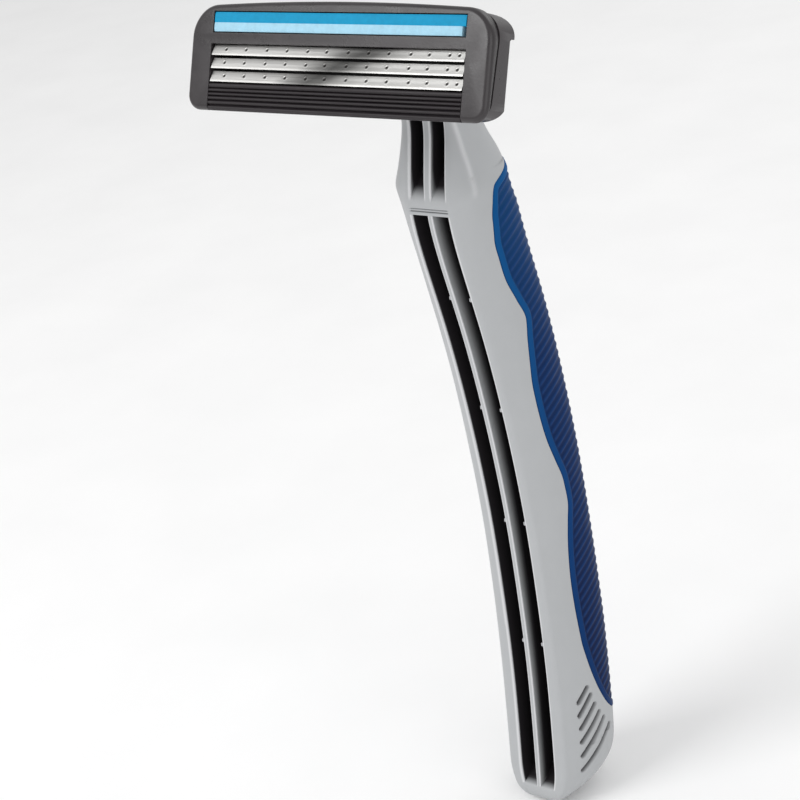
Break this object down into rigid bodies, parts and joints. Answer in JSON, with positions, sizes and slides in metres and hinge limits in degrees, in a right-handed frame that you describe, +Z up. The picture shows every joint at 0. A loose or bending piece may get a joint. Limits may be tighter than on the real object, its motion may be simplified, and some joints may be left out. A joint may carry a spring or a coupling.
{
  "type": "safety razor",
  "caption": "Manual razor with a sprung multi-blade pivoting head, a slotted curved plastic handle and a ribbed soft grip.",
  "frame": {"origin": "centre of the flat end of the handle (the foot)", "axes": "+Z up along the handle towards the head, X across the handle and along the blades, -Y the way the shaving face looks"},
  "size_m": [0.043, 0.031, 0.1157],
  "materials": {
    "handle": "satin light grey",
    "grip": "matt soft blue",
    "dark_plastic": "satin",
    "head_plastic": "satin warm dark grey",
    "guard": "matt",
    "strip_upper": "waxy",
    "strip_lower": "waxy",
    "blade_steel": "brushed along the blade",
    "support_steel": "pressed",
    "spring_steel": "rolled"
  },
  "bodies": {
    "handle": {"handle_core": "handle", "rubber_grip": "grip", "pivot_yoke": "dark_plastic", "return_spring": "dark_plastic"},
    "head": {"cartridge_base": "head_plastic", "cartridge_frame": "head_plastic", "guard_strip": "guard", "lube_strip_upper": "strip_upper", "lube_strip_lower": "strip_lower", "blade_spring_1_left": "spring_steel", "blade_spring_1_right": "spring_steel", "blade_spring_2_left": "spring_steel", "blade_spring_2_right": "spring_steel", "blade_spring_3_left": "spring_steel", "blade_spring_3_right": "spring_steel"},
    "blade_unit_1": {"blade_1": "blade_steel", "blade_support_1": "support_steel"},
    "blade_unit_2": {"blade_2": "blade_steel", "blade_support_2": "support_steel"},
    "blade_unit_3": {"blade_3": "blade_steel", "blade_support_3": "support_steel"}
  },
  "joints": [
    {"name": "head_pivot", "type": "hinge", "parent": "handle", "child": "head", "pos_m": [0, -0.01396, 0.1056], "axis": [-1, 0, 0], "range_deg": [0, 35], "stiffness_Nm_per_rad": 0.006, "springref_deg": -22.92, "deforming": ["return_spring"]},
    {"name": "blade_1_float", "type": "slide", "parent": "head", "child": "blade_unit_1", "axis": [0, 0.91, -0.4147], "range_m": [0, 0.0004], "stiffness_N_per_m": 5, "springref_m": -0.0006, "deforming": ["blade_spring_1_left", "blade_spring_1_right"]},
    {"name": "blade_2_float", "type": "slide", "parent": "head", "child": "blade_unit_2", "axis": [0, 0.91, -0.4147], "range_m": [0, 0.0004], "stiffness_N_per_m": 5, "springref_m": -0.0006, "deforming": ["blade_spring_2_left", "blade_spring_2_right"]},
    {"name": "blade_3_float", "type": "slide", "parent": "head", "child": "blade_unit_3", "axis": [0, 0.91, -0.4147], "range_m": [0, 0.0004], "stiffness_N_per_m": 5, "springref_m": -0.0006, "deforming": ["blade_spring_3_left", "blade_spring_3_right"]}
  ]
}
